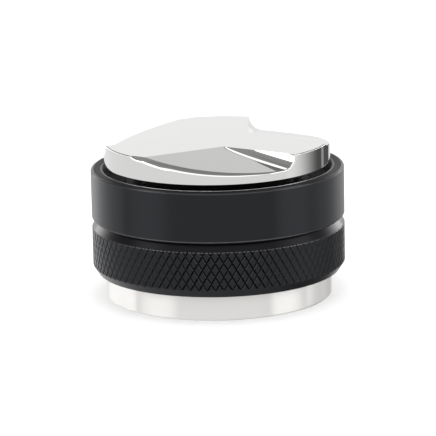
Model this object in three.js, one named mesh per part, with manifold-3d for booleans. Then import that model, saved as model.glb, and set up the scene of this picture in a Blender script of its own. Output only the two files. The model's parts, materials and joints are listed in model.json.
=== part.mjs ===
// Two-sided espresso puck tool: a three-wedge distributor head on top and a flat tamper head
// below, each screwed to its own depth in a black anodised housing. Millimetres, +Z up, origin at
// the centre of the tamper face.
import * as THREE from 'three';
import { mergeVertices } from 'three/addons/utils/BufferGeometryUtils.js';
import Module from 'manifold-3d';

const wasm = await Module();
wasm.setup();

// ---------------------------------------------------------------- driving dimensions
const HEAD_R = 29;                 // both heads fit a 58 mm filter basket
const BODY_R = 32.5;               // outside of both housings
const TOP_Z = 40.3;                // flat top of the distributor head
const HEAD_UNDER_Z = 34.5;         // underside of the distributor head
const UPPER_TOP_Z = 33.2;          // shoulder of the upper housing
const SEAM_Z = 20.2;               // the two housings meet here
const LOWER_BOTTOM_Z = 6.6;        // shoulder of the lower housing
const TAMPER_TOP_Z = 8.3;          // inner face of the tamper head
const UPPER_BORE_R = 29.8;
const LOWER_BORE_R = 29.5;

const TRAVEL = 2;                  // each head moves this far both ways from rest
const FLOOR_H = 9.7;               // floor of each housing's recess, from the seam
const FIT = 0.05;                  // clearance of pieces fixed to each other
const RUN = 0.1;                   // clearance of threads, drawn as plain cylinders

const THREAD_R = 20;               // crest of the carriers' 1.5 mm thread
const CARRIER_HOLLOW_R = 16.4;
const FLANGE_R = 23.6;
const FLANGE_T = 2.3;
const NUT_OUT_R = 22.2;            // threaded ring pressed into a housing
const NUT_FLANGE_R = 23.4;
const NUT_FLANGE_T = 1;
const NUT_END_H = 5.6;
const FRICTION_T = 0.9;
const FRICTION_OUT_R = 21.4;
const CLIP_T = 1;
const CLIP_OUT_R = 21.3;
const CLIP_IN_R = 18.8;
const CLIP_GAP = 5;                // opening of the snap ring
const END_MARGIN = 0.4;            // carrier beyond its snap ring

const SCREWS = 3;                  // in each head, and from housing to housing
const HEAD_SCREW_RING = 12.2;
const SCREW_R = 2;
const SCREW_HEAD_R = 3.7;
const SCREW_BITE = 3.4;
const HOUSING_SCREW_RING = 26.75;
const HOUSING_SCREW_R = 1.5;
const HOUSING_HEAD_R = 2.6;
const HOUSING_HEAD_T = 3;
const HOUSING_BITE = 6.5;
const SOCKET = 2.5;                // hex key of every screw

// Distributor face: three ramps fall from the flat top, each towards a filleted wall.
const RAMPS = 3;
const WALL_AT = THREE.MathUtils.degToRad(-47.5);      // where a wall meets the rim
const CREASE_AT = THREE.MathUtils.degToRad(229);      // where a ramp's crease meets the rim
const HUB_POINT = new THREE.Vector2(1.55, -10.1);     // inner end of wall and crease
const RAMP_SLOPE = 0.18;
const WALL_FILLET = 4;
const RIM_ROUND = 2;               // polished-off rim of a ramp, at its middle

const KNURLS = 96;
const KNURL_DEPTH = 0.42;
const KNURL_ROWS = 6;              // half diamonds from end to end
const KNURL_CHAMFER = 2;           // height of the slope at each end of the knurl
const SEAM_R = 31.2;               // the housings touch inside this radius

const ROUND = 60;                  // facets of a housing or head
const INNER = 36;                  // facets of the pieces inside
const SMALL = 12;                  // facets of a screw

// ---------------------------------------------------------------- finishes
const finish = (color, roughness, metalness) =>
  new THREE.MeshStandardMaterial({ color, roughness, metalness });
const polishedSteel = () => finish(0xd8d8da, 0.08, 1);
const turnedSteel = () => finish(0xcfcdca, 0.28, 1);
const blackAnodised = () => finish(0x17181a, 0.42, 0.6);
const blackOxide = () => finish(0x2b2b2c, 0.45, 0.9);
const blackNylon = () => finish(0x141414, 0.6, 0);
const springSteel = () => finish(0x4a4b4f, 0.45, 1);
const screwSteel = () => finish(0xa9abb0, 0.3, 1);

// ---------------------------------------------------------------- solids
function bare(geometry) {
  const shape = geometry.clone();
  for (const name of Object.keys(shape.attributes)) {
    if (name !== 'position') shape.deleteAttribute(name);
  }
  return mergeVertices(shape, 1e-5);
}

// Merges a closed geometry's shared vertices, drops empty triangles and turns its faces outwards.
function solid(geometry) {
  const shape = bare(geometry);
  const position = shape.attributes.position;
  const corner = (i) => new THREE.Vector3().fromBufferAttribute(position, i);
  const kept = [];
  let volume = 0;
  for (let i = 0; i < shape.index.count; i += 3) {
    const [a, b, c] = [0, 1, 2].map((k) => shape.index.getX(i + k));
    if (a === b || b === c || c === a) continue;
    kept.push([a, b, c]);
    volume += corner(a).dot(corner(b).cross(corner(c)));
  }
  const triangles = volume < 0 ? kept.map(([a, b, c]) => [a, c, b]) : kept;
  const vertProperties = new Float32Array(position.array);
  const triVerts = new Uint32Array(triangles.flat());
  return new wasm.Manifold(new wasm.Mesh({ numProp: 3, vertProperties, triVerts }));
}

function surface(body) {
  const { vertProperties, triVerts } = body.getMesh();
  const geometry = new THREE.BufferGeometry();
  geometry.setAttribute('position', new THREE.BufferAttribute(new Float32Array(vertProperties), 3));
  geometry.setIndex(new THREE.BufferAttribute(new Uint32Array(triVerts), 1));
  geometry.computeVertexNormals();
  return geometry;
}

// A closed outline of [radius, height] points, turned about Z. Either winding is accepted.
function turned(outline, facets = ROUND) {
  const points = outline.map(([r, z]) => new THREE.Vector2(r, z));
  if (THREE.ShapeUtils.area(points) < 0) points.reverse();
  points.push(points[0].clone());
  return solid(new THREE.LatheGeometry(points, facets).rotateX(Math.PI / 2));
}

const pin = (radius, from, to, x = 0, y = 0, facets = SMALL) =>
  turned([[0, from], [radius, from], [radius, to], [0, to]], facets).translate([x, y, 0]);

// A ring of equal places round the axis, as [x, y, angle].
const around = (count, radius, first = 0) =>
  Array.from({ length: count }, (_, k) => {
    const angle = first + (k * 2 * Math.PI) / count;
    return [radius * Math.cos(angle), radius * Math.sin(angle), angle];
  });

const threeTimes = (body) =>
  around(RAMPS, 1).map(([, , angle]) => body.rotate([0, 0, THREE.MathUtils.radToDeg(angle)]));

// A loft through equal closed sections. `flat` gives each section's own plane outline.
function lofted(sections, flat) {
  const size = sections[0].length;
  const position = sections.flat().flatMap((p) => [p.x, p.y, p.z]);
  const index = [];
  for (let s = 0; s + 1 < sections.length; s += 1) {
    for (let i = 0; i < size; i += 1) {
      const a = s * size + i;
      const b = s * size + ((i + 1) % size);
      index.push(a, b, b + size, a, b + size, a + size);
    }
  }
  const capped = (outline, first, reverse) => {
    const triangles = THREE.ShapeUtils.triangulateShape(outline, []);
    const turn = THREE.ShapeUtils.area(triangles[0].map((i) => outline[i]));
    const same = turn * THREE.ShapeUtils.area(outline) > 0;
    for (const [a, b, c] of triangles) {
      const [p, q] = same !== reverse ? [b, c] : [c, b];
      index.push(first + a, first + p, first + q);
    }
  };
  capped(flat(sections[0]), 0, true);
  capped(flat(sections.at(-1)), (sections.length - 1) * size, false);
  const geometry = new THREE.BufferGeometry();
  geometry.setAttribute('position', new THREE.Float32BufferAttribute(position, 3));
  geometry.setIndex(index);
  return solid(geometry);
}

const steps = (count, from, to) =>
  Array.from({ length: count + 1 }, (_, i) => from + ((to - from) * i) / count);

const screwPlaces = around(SCREWS, HEAD_SCREW_RING, THREE.MathUtils.degToRad(88));
const housingScrewPlaces = around(SCREWS, HOUSING_SCREW_RING, THREE.MathUtils.degToRad(30));

// ---------------------------------------------------------------- distributor face
const rimPoint = (angle, radius = HEAD_R) =>
  new THREE.Vector2(radius * Math.cos(angle), radius * Math.sin(angle));
const rightOf = (v) => new THREE.Vector2(v.y, -v.x);

const creaseWay = HUB_POINT.clone().sub(rimPoint(CREASE_AT)).normalize();
const downRamp = rightOf(creaseWay);
const wallWay = rimPoint(WALL_AT).sub(HUB_POINT).normalize();
const offWall = rightOf(wallWay);

const rampZ = (x, y) =>
  TOP_Z - RAMP_SLOPE * ((x - HUB_POINT.x) * downRamp.x + (y - HUB_POINT.y) * downRamp.y);

// Everything above one ramp's plane, between its crease and the foot of its wall.
function rampPrism() {
  const reach = 2.2 * HEAD_R;
  const outline = new THREE.Shape([
    HUB_POINT,
    HUB_POINT.clone().addScaledVector(creaseWay, -reach),
    rimPoint(THREE.MathUtils.degToRad(270), reach),
    HUB_POINT.clone().addScaledVector(wallWay, reach),
  ]);
  const prism = new THREE.ExtrudeGeometry(outline, { depth: reach, bevelEnabled: false });
  const tilt = new THREE.Matrix4().set(
    1, 0, 0, 0,
    0, 1, 0, 0,
    -RAMP_SLOPE * downRamp.x, -RAMP_SLOPE * downRamp.y, 1, rampZ(0, 0),
    0, 0, 0, 1,
  );
  return solid(prism.applyMatrix4(tilt));
}

// The material left between a wall's straight top edge and its ramp: a fillet of one radius.
function wallFillet() {
  const across = RAMP_SLOPE * offWall.dot(downRamp);
  const lean = Math.hypot(1, across);
  const section = (along) => {
    const depth = RAMP_SLOPE * wallWay.dot(downRamp) * along;
    const low = depth - WALL_FILLET * lean;
    const half = across * low;
    const root = Math.sqrt(half * half - lean * lean * (low * low - WALL_FILLET ** 2));
    const centre = (root - half) / (lean * lean);
    const rise = -(low + across * centre);
    const first = Math.atan2(-rise, -centre);
    const foot = Math.atan2(-1, -across);
    const arc = steps(7, first, foot).map((angle) => [
      centre + WALL_FILLET * Math.cos(angle),
      TOP_Z + rise + WALL_FILLET * Math.sin(angle),
    ]);
    const [footAt, footZ] = arc.at(-1);
    const back = [[footAt, footZ - 1], [-1, footZ - 2], [-1, TOP_Z + 1], [arc[0][0], TOP_Z + 1]];
    return [...arc, ...back].map(([off, z]) => {
      const at = HUB_POINT.clone().addScaledVector(wallWay, along).addScaledVector(offWall, off);
      return new THREE.Vector3(at.x, at.y, z);
    });
  };
  const length = rimPoint(WALL_AT).sub(HUB_POINT).length();
  const outline = (loop) =>
    loop.map((p) => new THREE.Vector2(new THREE.Vector2(p.x, p.y).sub(HUB_POINT).dot(offWall), p.z));
  return lofted(steps(10, 0.05, 1.12 * length).map(section), outline);
}

// The rim of a ramp is polished round, most at its middle and not at all at its ends.
function rimRounding() {
  const from = CREASE_AT + 0.02;
  const to = WALL_AT + 2 * Math.PI - 0.16;
  const section = (angle) => {
    const share = (angle - from) / (to - from);
    const radius = 0.08 + RIM_ROUND * Math.sin(Math.PI * share) ** 0.7;
    const out = rimPoint(angle, 1);
    const fall = RAMP_SLOPE * out.dot(downRamp);
    const centreR = HEAD_R - radius;
    const centreZ = rampZ(out.x * centreR, out.y * centreR) - radius * Math.hypot(1, fall);
    const arc = steps(4, Math.PI / 2 - Math.atan(fall), 0).map((turn) => [
      centreR + radius * Math.cos(turn),
      centreZ + radius * Math.sin(turn),
    ]);
    const past = [[HEAD_R + 1, centreZ], [HEAD_R + 1, centreZ + 4], [arc[0][0], centreZ + 4]];
    return [...arc, ...past].map(([r, z]) => new THREE.Vector3(out.x * r, out.y * r, z));
  };
  const outline = (loop) => loop.map((p) => new THREE.Vector2(Math.hypot(p.x, p.y), p.z));
  return lofted(steps(16, from, to).map(section), outline);
}

function distributorHead() {
  let head = turned([
    [0, HEAD_UNDER_Z],
    [HEAD_R - 0.15, HEAD_UNDER_Z],
    [HEAD_R, HEAD_UNDER_Z + 0.15],
    [HEAD_R, TOP_Z - 0.15],
    [HEAD_R - 0.15, TOP_Z],
    [0, TOP_Z],
  ]);
  const pocket = rampPrism().subtract(wallFillet());
  for (const cutter of [...threeTimes(pocket), ...threeTimes(rimRounding())]) {
    head = head.subtract(cutter);
  }
  for (const [x, y] of screwPlaces) {
    head = head.subtract(pin(SCREW_R + FIT, HEAD_UNDER_Z - 1, HEAD_UNDER_Z + SCREW_BITE + 0.3, x, y));
  }
  return head;
}

// ---------------------------------------------------------------- one side of the tool
// Each side is drawn with its height measured outwards from the seam, then placed above or below.
const above = (body) => body.translate([0, 0, SEAM_Z]);
const below = (body) => body.rotate([180, 0, 0]).translate([0, 0, SEAM_Z]);

const FLANGE_H = FLOOR_H + TRAVEL + 0.3;
const CARRIER_TOP_H = FLANGE_H + FLANGE_T;
const CLIP_H = NUT_END_H - TRAVEL - CLIP_T;
const CARRIER_END_H = CLIP_H - END_MARGIN;
const WEB_H = CARRIER_TOP_H - 3.5;

// Threaded cup that carries a head on its flange.
function carrier() {
  let cup = turned([
    [0, WEB_H],
    [CARRIER_HOLLOW_R, WEB_H],
    [CARRIER_HOLLOW_R, CARRIER_END_H],
    [THREAD_R, CARRIER_END_H],
    [THREAD_R, CLIP_H - FIT],
    [CLIP_IN_R - RUN, CLIP_H - FIT],
    [CLIP_IN_R - RUN, CLIP_H + CLIP_T + FIT],
    [THREAD_R, CLIP_H + CLIP_T + FIT],
    [THREAD_R, FLANGE_H],
    [FLANGE_R, FLANGE_H],
    [FLANGE_R, CARRIER_TOP_H - 0.3],
    [FLANGE_R - 0.3, CARRIER_TOP_H],
    [0, CARRIER_TOP_H],
  ], INNER);
  for (const [x, y] of screwPlaces) cup = cup.subtract(countersunk(FIT).translate([x, y, WEB_H]));
  return cup;
}

// Countersunk screw, its head flush with height 0 and its point up.
function countersunk(grow = 0) {
  const edge = 0.3;
  const end = CARRIER_TOP_H - WEB_H + SCREW_BITE;
  return turned([
    [0, -grow],
    [SCREW_HEAD_R + grow, -grow],
    [SCREW_HEAD_R + grow, edge],
    [SCREW_R + grow, edge + SCREW_HEAD_R - SCREW_R],
    [SCREW_R + grow, end + grow],
    [0, end + grow],
  ], SMALL);
}

const hexSocket = (acrossFlats, from, to) =>
  pin(acrossFlats / 2 / Math.cos(Math.PI / 6), from, to, 0, 0, 6);

const headScrew = ([x, y]) =>
  countersunk().subtract(hexSocket(SOCKET, -1, 1.6)).translate([x, y, WEB_H]);

// Split ring in the carrier's end groove: it stops the carrier from being screwed right out.
function snapRing() {
  const ring = turned([
    [CLIP_IN_R, CLIP_H],
    [CLIP_OUT_R, CLIP_H],
    [CLIP_OUT_R, CLIP_H + CLIP_T],
    [CLIP_IN_R, CLIP_H + CLIP_T],
  ], INNER);
  const gap = new THREE.BoxGeometry(CLIP_OUT_R, CLIP_GAP, 4 * CLIP_T);
  return ring.subtract(solid(gap.translate(CLIP_OUT_R, 0, CLIP_H)));
}

const NUT_LEDGE_H = FLOOR_H - NUT_FLANGE_T;
const FRICTION_H = FLOOR_H - FRICTION_T;

// Internally threaded ring, held by its flange in the floor of a housing.
const threadRing = () =>
  turned([
    [THREAD_R + RUN, NUT_END_H],
    [NUT_OUT_R, NUT_END_H],
    [NUT_OUT_R, NUT_LEDGE_H],
    [NUT_FLANGE_R, NUT_LEDGE_H],
    [NUT_FLANGE_R, FLOOR_H],
    [FRICTION_OUT_R + FIT, FLOOR_H],
    [FRICTION_OUT_R + FIT, FRICTION_H],
    [THREAD_R + RUN, FRICTION_H],
  ], INNER);

// Soft ring that rubs on the carrier's thread, so that a set depth stays.
const frictionRing = () =>
  turned([
    [THREAD_R + RUN, FRICTION_H + FIT],
    [FRICTION_OUT_R, FRICTION_H + FIT],
    [FRICTION_OUT_R, FLOOR_H - FIT],
    [THREAD_R + RUN, FLOOR_H - FIT],
  ], INNER);

// ---------------------------------------------------------------- housings
const HOUSING_HEAD_H = FLOOR_H - 0.3 - HOUSING_HEAD_T;

// The stepped bore that takes the threaded ring, shared by both housings.
const nutBore = (seam) => [
  [NUT_FLANGE_R + FIT, FLOOR_H],
  [NUT_FLANGE_R + FIT, NUT_LEDGE_H - FIT],
  [NUT_OUT_R + FIT, NUT_LEDGE_H - FIT],
  [NUT_OUT_R + FIT, seam],
];

function upperHousing() {
  const top = UPPER_TOP_Z - SEAM_Z;
  let ring = turned([
    ...nutBore(0),
    [SEAM_R, 0],
    [SEAM_R, 0.15],
    [BODY_R - 0.6, 0.15],
    [BODY_R, 0.75],
    [BODY_R, top - 0.2],
    [BODY_R - 0.06, top - 0.06],
    [BODY_R - 0.2, top],
    [UPPER_BORE_R + 0.3, top],
    [UPPER_BORE_R, top - 0.3],
    [UPPER_BORE_R, FLOOR_H],
  ]);
  for (const [x, y] of housingScrewPlaces) {
    ring = ring.subtract(pin(HOUSING_SCREW_R + FIT, -1, HOUSING_BITE + 0.4, x, -y));
  }
  return ring;
}

// The lower housing's outside: crossed left- and right-hand grooves leave a net of pyramids, and a
// slope at each end runs down to the plain edge. Heights are from the seam.
function knurledBar(shoulder) {
  const columns = 2 * KNURLS;
  const plain = (h) => ({ h, radius: () => SEAM_R });
  const crossed = steps(KNURL_ROWS, KNURL_CHAMFER, shoulder - KNURL_CHAMFER);
  const rows = [
    plain(0.02),
    ...crossed.map((h, row) => ({ h, radius: (i) => BODY_R - ((row + i) % 2) * KNURL_DEPTH })),
    plain(shoulder),
  ];
  const position = [0, 0, rows[0].h, 0, 0, shoulder];
  for (const { h, radius } of rows) {
    for (let i = 0; i < columns; i += 1) {
      const point = rimPoint((i * Math.PI) / KNURLS, radius(i));
      position.push(point.x, point.y, h);
    }
  }
  const index = [];
  const top = rows.length - 1;
  const at = (row, i) => 2 + row * columns + (i % columns);
  for (let i = 0; i < columns; i += 1) {
    index.push(0, at(0, i + 1), at(0, i), 1, at(top, i), at(top, i + 1));
    for (let row = 0; row < top; row += 1) {
      const [a, b, c, d] = [at(row, i), at(row, i + 1), at(row + 1, i + 1), at(row + 1, i)];
      if ((row + i) % 2) index.push(a, b, c, a, c, d);
      else index.push(a, b, d, b, c, d);
    }
  }
  const geometry = new THREE.BufferGeometry();
  geometry.setAttribute('position', new THREE.Float32BufferAttribute(position, 3));
  geometry.setIndex(index);
  return solid(geometry);
}

function lowerHousing() {
  const shoulder = SEAM_Z - LOWER_BOTTOM_Z;
  const bore = turned([
    [0, -1],
    [NUT_OUT_R + FIT, -1],
    ...nutBore(0).slice(0, 3).reverse(),
    [LOWER_BORE_R, FLOOR_H],
    [LOWER_BORE_R, shoulder - 0.3],
    [LOWER_BORE_R + 0.3, shoulder],
    [LOWER_BORE_R + 0.3, shoulder + 1],
    [0, shoulder + 1],
  ]);
  let housing = knurledBar(shoulder).subtract(bore);
  for (const [x, y] of housingScrewPlaces) {
    housing = housing
      .subtract(pin(HOUSING_SCREW_R + 2 * FIT, -1, FLOOR_H, x, y))
      .subtract(pin(HOUSING_HEAD_R + 2 * FIT, HOUSING_HEAD_H - FIT, FLOOR_H + 1, x, y));
  }
  return housing;
}

// Cap screw through the lower housing's floor into the upper housing.
const housingScrew = ([x, y]) =>
  turned([
    [0, -HOUSING_BITE],
    [HOUSING_SCREW_R, -HOUSING_BITE],
    [HOUSING_SCREW_R, HOUSING_HEAD_H],
    [HOUSING_HEAD_R, HOUSING_HEAD_H],
    [HOUSING_HEAD_R, HOUSING_HEAD_H + HOUSING_HEAD_T],
    [0, HOUSING_HEAD_H + HOUSING_HEAD_T],
  ], SMALL)
    .subtract(hexSocket(SOCKET, HOUSING_HEAD_H + 1.4, FLOOR_H + 1))
    .translate([x, y, 0]);

// ---------------------------------------------------------------- tamper head
function tamperHead() {
  const seatZ = SEAM_Z - CARRIER_TOP_H - FIT;
  let head = turned([
    [0, 0],
    [HEAD_R - 0.3, 0],
    [HEAD_R, 0.3],
    [HEAD_R, TAMPER_TOP_Z - 0.3],
    [HEAD_R - 0.3, TAMPER_TOP_Z],
    [FLANGE_R + 2 * FIT, TAMPER_TOP_Z],
    [FLANGE_R + 2 * FIT, seatZ],
    [0, seatZ],
  ]);
  for (const [x, y] of screwPlaces) {
    head = head.subtract(pin(SCREW_R + FIT, seatZ - SCREW_BITE - 0.3, seatZ + 1, x, -y));
  }
  return head;
}

// ---------------------------------------------------------------- assembly
const tool = new THREE.Group();

function add(name, body, material) {
  const mesh = new THREE.Mesh(surface(body), material);
  mesh.name = name;
  tool.add(mesh);
}

add('upper_housing', above(upperHousing()), blackAnodised());
add('lower_housing', below(lowerHousing()), blackAnodised());
housingScrewPlaces.forEach((place, k) => {
  add(`housing_screw_${k + 1}`, below(housingScrew(place)), screwSteel());
});

for (const [side, put] of [['distributor', above], ['tamper', below]]) {
  add(`${side}_thread_ring`, put(threadRing()), blackOxide());
  add(`${side}_friction_ring`, put(frictionRing()), blackNylon());
  add(`${side}_carrier`, put(carrier()), blackAnodised());
  add(`${side}_snap_ring`, put(snapRing()), springSteel());
  screwPlaces.forEach((place, k) => {
    add(`${side}_screw_${k + 1}`, put(headScrew(place)), screwSteel());
  });
}
add('distributor_head', distributorHead(), polishedSteel());
add('tamper_head', tamperHead(), turnedSteel());

export default tool;
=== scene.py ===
"""Looks of a two-sided espresso tool: a polished three-wedge distributor head and a turned tamper
head in black anodised housings. Lengths are metres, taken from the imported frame."""

import json
import math

import bpy
import numpy as np
from mathutils import Matrix, Vector

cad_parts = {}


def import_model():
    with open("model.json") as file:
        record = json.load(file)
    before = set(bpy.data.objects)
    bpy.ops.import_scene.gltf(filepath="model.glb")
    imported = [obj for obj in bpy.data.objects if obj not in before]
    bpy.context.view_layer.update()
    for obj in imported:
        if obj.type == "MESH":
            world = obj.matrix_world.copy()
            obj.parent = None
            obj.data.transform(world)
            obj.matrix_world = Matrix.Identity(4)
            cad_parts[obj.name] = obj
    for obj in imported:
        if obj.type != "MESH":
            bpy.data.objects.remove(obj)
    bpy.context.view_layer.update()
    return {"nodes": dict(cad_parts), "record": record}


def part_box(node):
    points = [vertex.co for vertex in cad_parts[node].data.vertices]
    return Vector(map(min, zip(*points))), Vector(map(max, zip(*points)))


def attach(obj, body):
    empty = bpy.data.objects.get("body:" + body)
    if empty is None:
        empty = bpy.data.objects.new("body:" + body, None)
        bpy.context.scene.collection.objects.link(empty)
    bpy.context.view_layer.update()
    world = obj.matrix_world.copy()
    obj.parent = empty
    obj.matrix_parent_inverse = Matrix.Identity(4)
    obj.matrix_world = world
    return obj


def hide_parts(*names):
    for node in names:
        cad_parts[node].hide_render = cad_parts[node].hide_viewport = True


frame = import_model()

MM = 0.001
TAU = 2 * math.pi

# ---------------------------------------------------------------- sizes from the frame
HEAD_LOW, HEAD_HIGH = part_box("distributor_head")
UPPER_LOW, UPPER_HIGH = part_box("upper_housing")
LOWER_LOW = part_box("lower_housing")[0]
TAMPER_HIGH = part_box("tamper_head")[1]

HEAD_R = HEAD_HIGH.x
BODY_R = UPPER_HIGH.x
TOP_Z = HEAD_HIGH.z
SEAM_Z = UPPER_LOW.z
SEAM_R = BODY_R - 1.3 * MM         # bottom of the groove between the two rings
UPPER_BORE_R = HEAD_R + 0.35 * MM
LOWER_BORE_R = BODY_R - 3.0 * MM
RECESS = 9.7 * MM                  # floor of each housing's recess, from the seam
NUT_FLANGE_R = 23.45 * MM          # seats of the thread ring in each housing
NUT_R = 22.25 * MM
NUT_LEDGE = 8.65 * MM              # top of the wider seat, from the seam


# ---------------------------------------------------------------- mesh tools
def new_object(name, verts, faces, smooth_below=25.0, weighted=True):
    """A shaded mesh object whose edges stay sharp where its faces turn by more than an angle."""
    mesh = bpy.data.meshes.new(name)
    mesh.from_pydata([tuple(map(float, v)) for v in verts], [], faces)
    mesh.validate()
    mesh.update()
    for polygon in mesh.polygons:
        polygon.use_smooth = True
    mesh.set_sharp_from_angle(angle=math.radians(smooth_below))
    obj = bpy.data.objects.new(name, mesh)
    bpy.context.scene.collection.objects.link(obj)
    if weighted:
        shade = obj.modifiers.new("face_normals", "WEIGHTED_NORMAL")
        shade.keep_sharp = True
    return obj


ARC_STEPS = 6                      # faces round a broken edge
SEGMENTS = 360                     # and round the axis


def rounded(outline):
    """Replaces each corner (r, z, radius) of a closed outline by an arc of that radius."""
    points = []
    count = len(outline)
    for i, (r, z, radius) in enumerate(outline):
        here = Vector((r, z))
        if radius <= 0:
            points.append(here)
            continue
        before = Vector(outline[i - 1][:2]) - here
        after = Vector(outline[(i + 1) % count][:2]) - here
        half = before.angle(after) / 2
        cut = radius / math.tan(half)
        centre = here + (before.normalized() + after.normalized()).normalized() * radius / math.sin(half)
        start = here + before.normalized() * cut - centre
        sweep = start.angle_signed(here + after.normalized() * cut - centre)
        for k in range(ARC_STEPS + 1):
            turn = Matrix.Rotation(-sweep * k / ARC_STEPS, 2)
            points.append(centre + turn @ start)
    return points


def ring_faces(rows, columns, closed):
    """Quads between rings of points; closed joins the last ring to the first."""
    faces = []
    for row in range(rows if closed else rows - 1):
        above = (row + 1) % rows
        for i in range(columns):
            j = (i + 1) % columns
            faces.append((row * columns + i, row * columns + j, above * columns + j, above * columns + i))
    return faces


def turned(name, outline, closed=True):
    """An outline of (r, z, corner radius), anticlockwise, turned about Z. One that isn't closed
    starts and ends beside the axis, and gets a flat face over each end."""
    points = rounded(outline)
    angles = np.arange(SEGMENTS) * TAU / SEGMENTS
    verts = [(p.x * math.cos(a), p.x * math.sin(a), p.y) for p in points for a in angles]
    faces = ring_faces(len(points), SEGMENTS, closed)
    if not closed:
        faces.append(tuple(reversed(range(SEGMENTS))))
        faces.append(tuple(range(len(verts) - SEGMENTS, len(verts))))
    return new_object(name, verts, faces)


# ---------------------------------------------------------------- distributor head
RAMPS = 3
WALL_AT = math.radians(-47.5)      # where the front ramp's wall and crease meet the rim
CREASE_AT = math.radians(229)
HUB = Vector((1.55, -10.1)) * MM   # where they meet each other
RAMP_SLOPE = 0.18
WALL_FILLET = 4 * MM
POLISH_AT = math.radians(222)      # the rim's polishing starts here and ends at the wall
RIM_ROUND = 1.25 * MM              # how far it reaches in, at its widest
EDGE_ROUND = 0.25 * MM             # and everywhere else
RIM_START = math.tan(math.radians(24))   # slope at which the rounding leaves the ramp
RIM_DROP = 0.5                     # how far it runs down the side, of its width


def rim(angle, radius=HEAD_R):
    return Vector((radius * math.cos(angle), radius * math.sin(angle)))


def right_of(way):
    return Vector((way.y, -way.x))


CREASE_WAY = (HUB - rim(CREASE_AT)).normalized()
DOWN_RAMP = right_of(CREASE_WAY)
WALL_WAY = (rim(WALL_AT) - HUB).normalized()
OFF_WALL = right_of(WALL_WAY)


def ramp_z(point):
    return TOP_Z - RAMP_SLOPE * (point - HUB).dot(DOWN_RAMP)


def wall_section(along):
    """Centre offset, centre height and end angles of the wall's fillet at a distance along it."""
    across = RAMP_SLOPE * OFF_WALL.dot(DOWN_RAMP)
    lean = math.hypot(1, across)
    low = RAMP_SLOPE * WALL_WAY.dot(DOWN_RAMP) * along - WALL_FILLET * lean
    half = across * low
    root = math.sqrt(max(half * half - lean * lean * (low * low - WALL_FILLET ** 2), 0))
    centre = (root - half) / lean ** 2
    rise = -(low + across * centre)
    return centre, rise, math.atan2(-rise, -centre), math.atan2(-1, -across)


def wall_point(along, share):
    """A point of the filleted wall: share 0 is its top edge and 1 its foot."""
    centre, rise, first, foot = wall_section(along)
    angle = first + (foot - first) * share
    off = centre + WALL_FILLET * math.cos(angle)
    at = HUB + WALL_WAY * along + OFF_WALL * off
    return Vector((at.x, at.y, TOP_Z + rise + WALL_FILLET * math.sin(angle)))


def wall_reach(share, radius):
    """How far along the wall its surface meets a circle of that radius."""
    near, far = 0.0, 2 * HEAD_R
    halvings = 48
    for _ in range(halvings):
        middle = (near + far) / 2
        if wall_point(middle, share).xy.length < radius:
            near = middle
        else:
            far = middle
    return near


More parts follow.
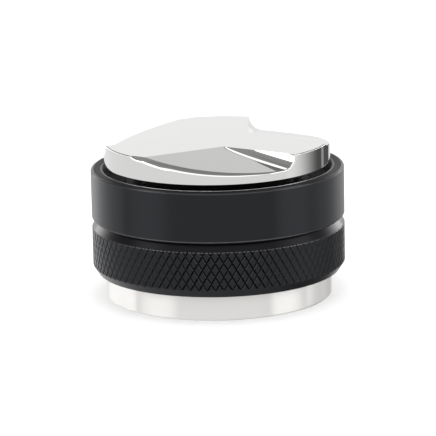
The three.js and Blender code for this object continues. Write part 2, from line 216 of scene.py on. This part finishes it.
def distributor_head():
    """Planar top and ramps, ruled wall fillets, and a rim whose rounding varies round the head."""
    wall_rows, wall_columns, ramp_columns, arm_columns, rim_rows = 14, 40, 72, 36, 8
    chamfer = 0.15 * MM
    verts, faces, patches = [], [], []

    def vertex(point):
        verts.append(tuple(point))
        return len(verts) - 1

    def face(corners, patch):
        faces.append(tuple(corners))
        patches.append(patch)

    star, loops, rims = [], [], []
    for k in range(RAMPS):
        turn = Matrix.Rotation(k * TAU / RAMPS, 3, "Z")
        loop = []

        def rim_vertex(inner, corner, width, index=None):
            """A point of the rim's inner edge, with the corner that its rounding cuts off."""
            start = corner - Vector((0, 0, width * RIM_START))
            loop.append(vertex(turn @ inner) if index is None else index)
            rims.append((turn @ inner, turn @ start, width))
            return loop[-1]

        # The wall, as a grid from its hub point to the rim.
        grid = []
        for row in range(wall_rows + 1):
            share = row / wall_rows
            reach = wall_reach(share, HEAD_R - EDGE_ROUND)
            grid.append([wall_point(reach * (c / wall_columns) ** 1.6, share)
                         for c in range(1, wall_columns + 1)])
        hub = vertex(turn @ wall_point(0, 0))
        ids = [[vertex(turn @ p) for p in line] for line in grid]
        for row in range(wall_rows):
            face((hub, ids[row + 1][0], ids[row][0]), "wall")
            for c in range(wall_columns - 1):
                face((ids[row][c], ids[row + 1][c], ids[row + 1][c + 1], ids[row][c + 1]), "wall")

        # The ramp, one flat face between crease, foot and rim.
        foot_end, top_end = grid[-1][-1], grid[0][-1]
        foot_at = math.atan2(foot_end.y, foot_end.x) % TAU

        def polish(angle, foot_at=foot_at):
            share = min(max((angle - POLISH_AT) / (foot_at - POLISH_AT), 0), 1)
            return EDGE_ROUND + RIM_ROUND * 2.2 * share ** 0.35 * (1 - share)

        for i in range(ramp_columns):
            angle = CREASE_AT + (foot_at - CREASE_AT) * i / ramp_columns
            width = polish(angle)
            inner, corner = rim(angle, HEAD_R - width), rim(angle)
            inner_z = ramp_z(inner) if i else TOP_Z
            rim_vertex(Vector((*inner, inner_z)), Vector((*corner, inner_z)), width)
        ramp_loop = list(loop)

        # The wall's end, from its foot up.
        for row in range(wall_rows, -1, -1):
            share = row / wall_rows
            corner = wall_point(wall_reach(share, HEAD_R), share)
            rim_vertex(grid[row][-1], corner, EDGE_ROUND, ids[row][-1])

        # The arm's rim, up to the next crease.
        arm_from = math.atan2(top_end.y, top_end.x) % TAU
        arm_to = CREASE_AT + TAU / RAMPS
        arm = []
        for i in range(1, arm_columns):
            angle = arm_from + (arm_to - arm_from) * i / arm_columns
            width = polish(angle - TAU / RAMPS)
            inner, corner = rim(angle, HEAD_R - width), rim(angle)
            arm.append(rim_vertex(Vector((*inner, TOP_Z)), Vector((*corner, TOP_Z)), width))
        face([hub] + ramp_loop + ids[-1][::-1], "ramp")
        star.append([hub] + ids[0] + arm)
        loops.append(loop)

    # Each arm's top runs on to the next ramp's crease, so the star is one face.
    face([i for k, points in enumerate(star) for i in points + [loops[(k + 1) % RAMPS][0]]], "top")

    # Out over the corner, as a quadratic curve, and down the side.
    rows = [[i for loop in loops for i in loop]]
    for step in range(1, rim_rows + 1):
        t = step / rim_rows
        row = []
        for inner, corner, width in rims:
            end = corner - Vector((0, 0, width * RIM_DROP))
            row.append(vertex(inner * (1 - t) ** 2 + corner * 2 * t * (1 - t) + end * t * t))
        rows.append(row)
    ends = [verts[i] for i in rows[-1]]
    for share in (0.25, 0.5, 0.75, 1.0):
        rows.append([vertex((x, y, z + (HEAD_LOW.z + chamfer - z) * share)) for x, y, z in ends])
    shrink = 1 - chamfer / HEAD_R
    rows.append([vertex((x * shrink, y * shrink, HEAD_LOW.z)) for x, y, _ in ends])
    count = len(rims)
    for row in range(len(rows) - 1):
        patch = "rim" if row < rim_rows else ("side" if row < len(rows) - 2 else "low")
        for i in range(count):
            j = (i + 1) % count
            face((rows[row][i], rows[row + 1][i], rows[row + 1][j], rows[row][j]), patch)
    face(rows[-1][::-1], "under")

    obj = new_object("polished_distributor_head", verts, faces, smooth_below=180)
    mark_sharp(obj.data, patches, {
        ("ramp", "top"), ("top", "wall"), ("ramp", "rim"), ("rim", "top"), ("rim", "wall"),
        ("low", "side"), ("low", "under"),
    })
    return obj


def mark_sharp(mesh, patches, pairs):
    """Sharp edges between the named pairs of patches."""
    seen = {}
    for polygon, patch in zip(mesh.polygons, patches):
        for key in polygon.edge_keys:
            seen.setdefault(key, []).append(patch)
    sharp = mesh.attributes.get("sharp_edge") or mesh.attributes.new("sharp_edge", "BOOLEAN", "EDGE")
    values = []
    for edge in mesh.edges:
        kinds = tuple(sorted(seen.get(tuple(sorted(edge.vertices)), [])))
        values.append(kinds in pairs)
    sharp.data.foreach_set("value", values)


# ---------------------------------------------------------------- housings
LIP = 0.1 * MM                     # the smooth ring's top rises towards its bore by this much


def upper_housing():
    """The smooth ring: a groove at the seam, broken edges, and a bore with a small lip."""
    low, high = UPPER_LOW.z, UPPER_HIGH.z
    return turned("smooth_upper_housing", [
        (NUT_R, low, 0.1 * MM),
        (SEAM_R, low, 0.05 * MM),
        (SEAM_R, low + 0.15 * MM, 0),
        (BODY_R - 0.6 * MM, low + 0.15 * MM, 0.12 * MM),
        (BODY_R, low + 0.75 * MM, 0.25 * MM),
        (BODY_R, high, 0.45 * MM),
        (BODY_R - 1.2 * MM, high, 3 * MM),
        (UPPER_BORE_R + 0.25 * MM, high + LIP, 0.15 * MM),
        (UPPER_BORE_R, high + LIP - 0.2 * MM, 0.12 * MM),
        (UPPER_BORE_R, low + RECESS, 0.8 * MM),
        (NUT_FLANGE_R, low + RECESS, 0.1 * MM),
        (NUT_FLANGE_R, low + NUT_LEDGE, 0),
        (NUT_R, low + NUT_LEDGE, 0.05 * MM),
    ])


KNURLS = 96
KNURL_SAMPLES = 16                 # mesh columns from one diamond to the next
KNURL_DEPTH = 0.24 * MM
KNURL_GROOVE = 0.25                # share of the spacing that a groove takes
KNURL_CHAMFER = 2 * MM             # height of the slope at each end
KNURL_ANGLE = math.radians(31)     # of the grooves to the axis
SEAM_GROOVE = 0.05 * MM


def knurl_nearness(turns, rise):
    """Distance from each set of crossed grooves, 0 on a groove and 1 midway to the next."""
    away = []
    for lean in (-1, 1):
        phase = (turns + lean * rise) % 1.0
        away.append(np.minimum(phase, 1 - phase) * 2)
    return away


def knurl_rows(angles, heights, limit):
    """Radii of the grooved band, one row for each height, and the leaning of its grooves."""
    diamond = TAU * BODY_R / KNURLS / math.tan(KNURL_ANGLE)
    turns = angles * KNURLS / TAU
    rows, leans = [], []
    for z in heights:
        left, right = knurl_nearness(turns, (z - LOWER_LOW.z) / diamond)
        cut = np.clip(np.minimum(left, right) / KNURL_GROOVE, 0, 1)
        rows.append(np.minimum(BODY_R - KNURL_DEPTH * (1 - cut), limit(z)))
        leans.append(left < right)
    return rows, leans


def lower_housing():
    """The knurled ring, with its grooves running out on a slope at each end."""
    low, high = LOWER_LOW.z, SEAM_Z
    columns = KNURLS * KNURL_SAMPLES
    angles = np.arange(columns) * TAU / columns
    slope = KNURL_CHAMFER / (BODY_R - SEAM_R)
    slope_rows = 12
    seat = high - 0.02 * MM
    edge = 0.3 * MM

    def limit(z):
        return min(SEAM_R + (z - low) / slope, SEAM_R + (high - SEAM_GROOVE - z) / slope)

    row_height = TAU * BODY_R / KNURLS / math.tan(KNURL_ANGLE) / KNURL_SAMPLES
    land_low, land_high = low + KNURL_CHAMFER, high - SEAM_GROOVE - KNURL_CHAMFER
    count = int((land_high - land_low) / row_height)
    land = land_low + row_height * np.arange(count + 1)
    heights = np.concatenate([
        np.linspace(low, land_low, slope_rows + 1)[:-1],
        land,
        np.linspace(land_high, high - SEAM_GROOVE, slope_rows + 1),
    ])
    outer, leans = knurl_rows(angles, heights, limit)
    inner = [
        (SEAM_R, seat),
        (NUT_R, seat),
        (NUT_R, high - NUT_LEDGE),
        (NUT_FLANGE_R, high - NUT_LEDGE),
        (NUT_FLANGE_R, high - RECESS),
        (LOWER_BORE_R, high - RECESS),
        (LOWER_BORE_R, low + edge),
        (LOWER_BORE_R + edge / 5, low + edge / 3),
        (LOWER_BORE_R + edge, low),
    ]
    rings = outer + [np.full(columns, r) for r, _ in inner]
    levels = list(heights) + [z for _, z in inner]
    verts = [(r * math.cos(a), r * math.sin(a), z)
             for ring, z in zip(rings, levels) for r, a in zip(ring, angles)]
    faces = []
    for index, (a, b, c, d) in enumerate(ring_faces(len(levels), columns, True)):
        row, column = divmod(index, columns)
        if row >= len(heights) - 1:
            faces.append((a, b, c, d))
        elif leans[row][column]:
            faces += [(a, b, c), (a, c, d)]
        else:
            faces += [(a, b, d), (b, c, d)]
    return new_object("knurled_lower_housing", verts, faces, smooth_below=28, weighted=False)


# ---------------------------------------------------------------- tamper head
CARRIER_FLANGE_R = 23.7 * MM       # recess that the carrier is screwed into
TAMPER_SEAT = 5.85 * MM            # and the height of its floor


def tamper_head():
    """A plain disc, recessed on top for its carrier."""
    top = TAMPER_HIGH.z
    return turned("turned_tamper_head", [
        (0.5 * MM, 0, 0),
        (HEAD_R, 0, 0.28 * MM),
        (HEAD_R, top, 0.3 * MM),
        (CARRIER_FLANGE_R, top, 0.15 * MM),
        (CARRIER_FLANGE_R, TAMPER_SEAT, 0),
        (0.5 * MM, TAMPER_SEAT, 0),
    ], closed=False)


# ---------------------------------------------------------------- materials
class Sum:
    """Small arithmetic on shader sockets."""

    def __init__(self, nodes, links):
        self.nodes, self.links = nodes, links

    def put(self, value, socket):
        if isinstance(value, (int, float)):
            socket.default_value = value
        else:
            self.links.new(value, socket)

    def op(self, kind, *values):
        node = self.nodes.new("ShaderNodeMath")
        node.operation = kind
        for value, socket in zip(values, node.inputs):
            self.put(value, socket)
        return node.outputs[0]

    def ease(self, value, start, end, low=0.0, high=1.0):
        node = self.nodes.new("ShaderNodeMapRange")
        node.interpolation_type = "SMOOTHSTEP"
        self.put(value, node.inputs["Value"])
        for name, number in (("From Min", start), ("From Max", end), ("To Min", low), ("To Max", high)):
            self.put(number, node.inputs[name])
        return node.outputs["Result"]

    def window(self, value, low, high, soft):
        """1 between low and high, falling to 0 over soft outside it."""
        return self.op("MULTIPLY", self.ease(value, low - soft, low),
                       self.ease(value, high, high + soft, 1.0, 0.0))

    def blend(self, share, below, above):
        """below where share is 0, above where it is 1."""
        return self.op("MULTIPLY_ADD", share, self.op("SUBTRACT", above, below), below)


BLACK = (0.0255, 0.0262, 0.0288)
PAINTED_HIGHLIGHT = (0.85, 0.85, 0.86)          # painted highlight along an edge, in a bare-metal colour
BORE_SHADE = (0.02, 0.02, 0.021)     # painted shade inside a bore, darker than BLACK
SLOPE_SHADE = (0.010, 0.010, 0.0115)    # painted shade on the slope between the knurl and the seam


def material(name, colour, metallic, roughness, anisotropic=0.0, specular=0.5):
    made = bpy.data.materials.new(name)
    made.use_nodes = True
    nodes, links = made.node_tree.nodes, made.node_tree.links
    shader = nodes["Principled BSDF"]
    shader.inputs["Base Color"].default_value = (*colour, 1)
    shader.inputs["Metallic"].default_value = metallic
    shader.inputs["Roughness"].default_value = roughness
    shader.inputs["Anisotropic"].default_value = anisotropic
    shader.inputs["Specular IOR Level"].default_value = specular
    return made, nodes, links, shader


def object_point(nodes, links, scale):
    place = nodes.new("ShaderNodeTexCoord")
    stretch = nodes.new("ShaderNodeMapping")
    stretch.inputs["Scale"].default_value = scale
    links.new(place.outputs["Object"], stretch.inputs["Vector"])
    return stretch.outputs["Vector"]


def noise(nodes, links, scale, detail):
    """Noise with so many cells to the metre along each axis."""
    texture = nodes.new("ShaderNodeTexNoise")
    texture.inputs["Scale"].default_value = 1.0
    texture.inputs["Detail"].default_value = detail
    links.new(object_point(nodes, links, scale), texture.inputs["Vector"])
    return texture.outputs["Fac"]


def spread(nodes, links, value, low, high):
    """Maps a 0..1 value to low..high."""
    stretch = nodes.new("ShaderNodeMapRange")
    stretch.inputs["To Min"].default_value = low
    stretch.inputs["To Max"].default_value = high
    links.new(value, stretch.inputs["Value"])
    return stretch.outputs["Result"]


def mixed(nodes, links, share, below, above):
    """A colour between two others, each an RGB triple or a socket."""
    mix = nodes.new("ShaderNodeMix")
    mix.data_type = "RGBA"
    for value, socket in ((below, mix.inputs["A"]), (above, mix.inputs["B"])):
        if isinstance(value, tuple):
            socket.default_value = (*value, 1)
        else:
            links.new(value, socket)
    links.new(share, mix.inputs["Factor"])
    return mix.outputs["Result"]


def bumped(nodes, links, shader, value, height):
    bump = nodes.new("ShaderNodeBump")
    bump.inputs["Distance"].default_value = height
    links.new(value, bump.inputs["Height"])
    links.new(bump.outputs["Normal"], shader.inputs["Normal"])


def along_grooves(nodes, links, shader):
    """Turning marks run round the axis, so reflections smear along it."""
    tangent = nodes.new("ShaderNodeTangent")
    tangent.direction_type = "RADIAL"
    tangent.axis = "Z"
    links.new(tangent.outputs["Tangent"], shader.inputs["Tangent"])
    shader.inputs["Anisotropic Rotation"].default_value = 0.25


def polished_steel():
    """Nearly a mirror, with faint wiped patches."""
    made, nodes, links, shader = material("polished_steel", (0.64, 0.637, 0.630), 1.0, 0.05)
    smear = noise(nodes, links, (90, 90, 90), 4)
    links.new(spread(nodes, links, smear, 0.02, 0.06), shader.inputs["Roughness"])
    return made


def turned_steel():
    """Fine turning lines round the axis."""
    made, nodes, links, shader = material("turned_steel", (0.71, 0.700, 0.685), 1.0, 0.3, anisotropic=1.0)
    along_grooves(nodes, links, shader)
    lines = noise(nodes, links, (8, 8, 9000), 2)
    links.new(spread(nodes, links, lines, 0.26, 0.34), shader.inputs["Roughness"])
    return made


def black_anodised(name, roughness, anisotropic, inside, shaded_above, highlight_edges):
    """Black anodising, rougher and with painted shade inside a radius, painted shade above a height, and
    painted highlights along edges, brightest on the side towards -Y. Each edge is (radius, half width,
    height, half height, highlight strength)."""
    made, nodes, links, shader = material(name, BLACK, 1.0, roughness, anisotropic)
    along_grooves(nodes, links, shader)
    bumped(nodes, links, shader, noise(nodes, links, (9000, 9000, 9000), 2), 0.002 * MM)

    s = Sum(nodes, links)
    place = nodes.new("ShaderNodeTexCoord")
    split = nodes.new("ShaderNodeSeparateXYZ")
    links.new(place.outputs["Object"], split.inputs["Vector"])
    x, y, z = split.outputs
    radius = s.op("SQRT", s.op("ADD", s.op("MULTIPLY", x, x), s.op("MULTIPLY", y, y)))
    soft = 0.05 * MM
    # painted highlights: bands of bare-metal colour along the listed edges
    highlight = 0.0
    for at, half_width, level, half_height, amount in highlight_edges:
        ring = s.op("MULTIPLY", s.window(radius, at - half_width, at + half_width, soft),
                    s.window(z, level - half_height, level + half_height, soft))
        highlight = s.op("MAXIMUM", highlight, s.op("MULTIPLY", ring, amount))
    # the painted highlights are brightest on the side towards -Y
    highlight = s.op("MULTIPLY", highlight, s.ease(y, -0.85 * BODY_R, -0.45 * BODY_R, 1.0, 0.25))
    # outside the given radius; inside it the bore is rougher and gets a painted shade
    open_air = s.ease(radius, inside, inside + 2 * soft)
    # painted shade above this height
    shaded = s.ease(z, shaded_above, shaded_above + 2 * soft)

    glossy = s.op("MAXIMUM", open_air, highlight)
    links.new(s.blend(glossy, 0.8, roughness), shader.inputs["Roughness"])
    patchy = spread(nodes, links, noise(nodes, links, (700, 700, 700), 3), 0.5, 1.2)
    # painted shade above the height, plain black below it
    outside = mixed(nodes, links, shaded, BLACK, SLOPE_SHADE)
    # painted shade inside the bore
    below_highlight = mixed(nodes, links, open_air, BORE_SHADE, outside)
    # the painted highlight colour goes in along the edge bands, patchily
    tone = mixed(nodes, links, s.op("MULTIPLY", highlight, patchy), below_highlight, PAINTED_HIGHLIGHT)
    links.new(tone, shader.inputs["Base Color"])
    return made


def inner_metal(name, colour, roughness):
    """Turned or pressed steel, finely lined round its axis."""
    made, nodes, links, shader = material(name, colour, 1.0, roughness)
    lines = noise(nodes, links, (300, 300, 6000), 3)
    links.new(spread(nodes, links, lines, roughness - 0.08, roughness + 0.08), shader.inputs["Roughness"])
    bumped(nodes, links, shader, lines, 0.003 * MM)
    return made


def black_nylon():
    """Moulded, with a fine grain."""
    made, nodes, links, shader = material("black_nylon", (0.015, 0.015, 0.016), 0.0, 0.55)
    grain = noise(nodes, links, (3000, 3000, 3000), 3)
    links.new(spread(nodes, links, grain, 0.48, 0.62), shader.inputs["Roughness"])
    bumped(nodes, links, shader, grain, 0.01 * MM)
    return made


MATERIALS = {
    "polished_steel": polished_steel(),
    "turned_steel": turned_steel(),
    "black_satin": black_anodised("black_satin", 0.38, 1.0, BODY_R - 0.8 * MM, TOP_Z, [
        # painted highlights along the bore's lip, the top outer edge and the edge above the seam
        (UPPER_BORE_R + 0.4 * MM, 0.25 * MM, UPPER_HIGH.z + LIP, 0.15 * MM, 1.0),
        (BODY_R, 0.2 * MM, UPPER_HIGH.z, 0.25 * MM, 0.06),
        (BODY_R - 0.2 * MM, 0.35 * MM, SEAM_Z + 0.6 * MM, 0.12 * MM, 0.18),
    ]),
    # painted shade in the bore and on the slope above the knurl
    "black_knurl": black_anodised("black_knurl", 0.30, 0.5, LOWER_BORE_R, SEAM_Z - KNURL_CHAMFER, [
        # a painted highlight along the knurl's top edge
        (BODY_R, 0.15 * MM, SEAM_Z - KNURL_CHAMFER, 0.05 * MM, 0.08),
    ]),
    "black_oxide": inner_metal("black_oxide", (0.030, 0.030, 0.031), 0.42),
    "black_nylon": black_nylon(),
    "spring_steel": inner_metal("spring_steel", (0.09, 0.09, 0.10), 0.4),
    "screw_steel": inner_metal("screw_steel", (0.55, 0.55, 0.57), 0.3),
}


def finish_cad_nodes():
    """Gives each node that is shown as it came the finish of its material slot."""
    for part in frame["record"]["subparts"]:
        for holder in frame["nodes"][part["node"]].material_slots:
            holder.material = MATERIALS[part["material_slot"]]


def stand_in(obj, slot, body, *nodes):
    """Finishes a piece, sets it on its body and lets it stand for the CAD nodes."""
    obj.data.materials.append(MATERIALS[slot])
    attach(obj, body)
    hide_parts(*nodes)


# ---------------------------------------------------------------- camera, floor, light
def camera():
    """A long lens, a little above the tool and turned a little clockwise."""
    data = bpy.data.cameras.new("camera")
    data.lens = 240.5
    data.sensor_width = 36
    elevation, roll, distance = math.radians(13.48), math.radians(1.2), 0.750
    target = Vector((-0.09, 0, 19.35)) * MM
    back = Vector((0, -math.cos(elevation), math.sin(elevation)))
    obj = bpy.data.objects.new("camera", data)
    bpy.context.scene.collection.objects.link(obj)
    obj.location = target + back * distance
    facing = (-back).to_track_quat("-Z", "Y")
    obj.rotation_mode = "QUATERNION"
    obj.rotation_quaternion = facing @ Matrix.Rotation(-roll, 3, "Z").to_quaternion()
    data.clip_start = 0.01
    data.clip_end = 20
    bpy.context.scene.camera = obj


def floor():
    """One plain pale sheet. The metal mirrors the studio's own table level in its place."""
    size = 6.0
    mesh = bpy.data.meshes.new("floor")
    mesh.from_pydata([(-size, -size, 0), (size, -size, 0), (size, size, 0), (-size, size, 0)], [],
                     [(0, 1, 2, 3)])
    mesh.materials.append(material("floor", (0.93, 0.93, 0.93), 0.0, 0.9, specular=0.1)[0])
    obj = bpy.data.objects.new("floor", mesh)
    bpy.context.scene.collection.objects.link(obj)
    obj.location.z = -0.02 * MM
    obj.visible_glossy = False


LIGHT = 1.6                        # even light from all round, and the background's level
ROOM = 0.7                         # levels that the metal mirrors: the room to both sides,
OVERHEAD = 0.36                    # the ceiling,
TABLE = 1.02                       # the table in front
BACKDROP = 1.09                    # and the paper behind

# Softboxes and flags round the tool, in degrees. The bearing is from the front, positive to the
# right: bearing from, to, height above the table from, to, softness, level.
PANELS = (
    (-89, -41, 11, 46, 3, 3.7),        # softboxes to the left and right
    (56, 99, 11, 40, 3, 4.0),
    (-150, -95, 1, 13, 3, 4.0),        # low strips behind them
    (99, 150, 1, 13, 3, 5.0),
    (-163, -114, 17, 37, 2, 0.25),     # flags over the strips
    (114, 163, 17, 37, 2, 0.25),
    (-165, -95, 42, 64, 4, 0.38),
    (-45, 45, -2, 58, 4, 1.0),         # the wall in front
    (-60, 60, 28, 64, 4, 1.75),        # and the softbox high on it
)


def world():
    """Even white to look at and to light by, and a structured studio for reflections."""
    made = bpy.data.worlds.new("studio")
    bpy.context.scene.world = made
    made.use_nodes = True
    nodes, links = made.node_tree.nodes, made.node_tree.links
    s = Sum(nodes, links)
    place = nodes.new("ShaderNodeTexCoord")
    split = nodes.new("ShaderNodeSeparateXYZ")
    links.new(place.outputs["Generated"], split.inputs["Vector"])
    x, y, z = split.outputs
    degrees = 180 / math.pi
    height = s.op("MULTIPLY", s.op("ARCSINE", z), degrees)
    bearing = s.op("MULTIPLY", s.op("ARCTAN2", x, s.op("MULTIPLY", y, -1.0)), degrees)
    away = s.op("ABSOLUTE", bearing)

    level = s.ease(height, 36, 60, ROOM, OVERHEAD)
    backdrop = s.blend(s.ease(height, 14, 32), BACKDROP, 0.82)
    backdrop = s.op("MULTIPLY", backdrop, s.ease(height, 33, 37, 1.0, OVERHEAD))
    back_panel = s.op("MULTIPLY", s.window(away, 168, 181, 2), s.window(height, 41, 59, 2))
    backdrop = s.blend(back_panel, backdrop, 1.8)
    level = s.blend(s.ease(away, 112, 122), level, backdrop)
    table = s.ease(away, 150, 170, TABLE, 0.88)
    dark_flag = s.blend(s.window(bearing, 133, 137, 2), s.ease(bearing, 76, 126, 1.1, 0.1), 0.4)
    flag = s.blend(s.window(bearing, 76, 156, 3), table, dark_flag)
    level = s.blend(s.ease(height, -2, 0), flag, level)
    for bearing_from, bearing_to, low, high, soft, brightness in PANELS:
        share = s.op("MULTIPLY", s.window(bearing, bearing_from, bearing_to, soft),
                     s.window(height, low, high, soft))
        level = s.blend(share, level, brightness)

    seen = nodes.new("ShaderNodeLightPath")
    strength = s.blend(seen.outputs["Is Glossy Ray"], LIGHT, level)
    background = nodes["Background"]
    background.inputs["Color"].default_value = (1, 1, 1, 1)
    links.new(strength, background.inputs["Strength"])


def build():
    camera()
    floor()
    world()
    finish_cad_nodes()
    stand_in(distributor_head(), "polished_steel", "distributor", "distributor_head")
    stand_in(upper_housing(), "black_satin", "housing", "upper_housing")
    stand_in(lower_housing(), "black_knurl", "housing", "lower_housing")
    stand_in(tamper_head(), "turned_steel", "tamper", "tamper_head")
    bpy.context.scene.view_settings.view_transform = "Standard"


build()
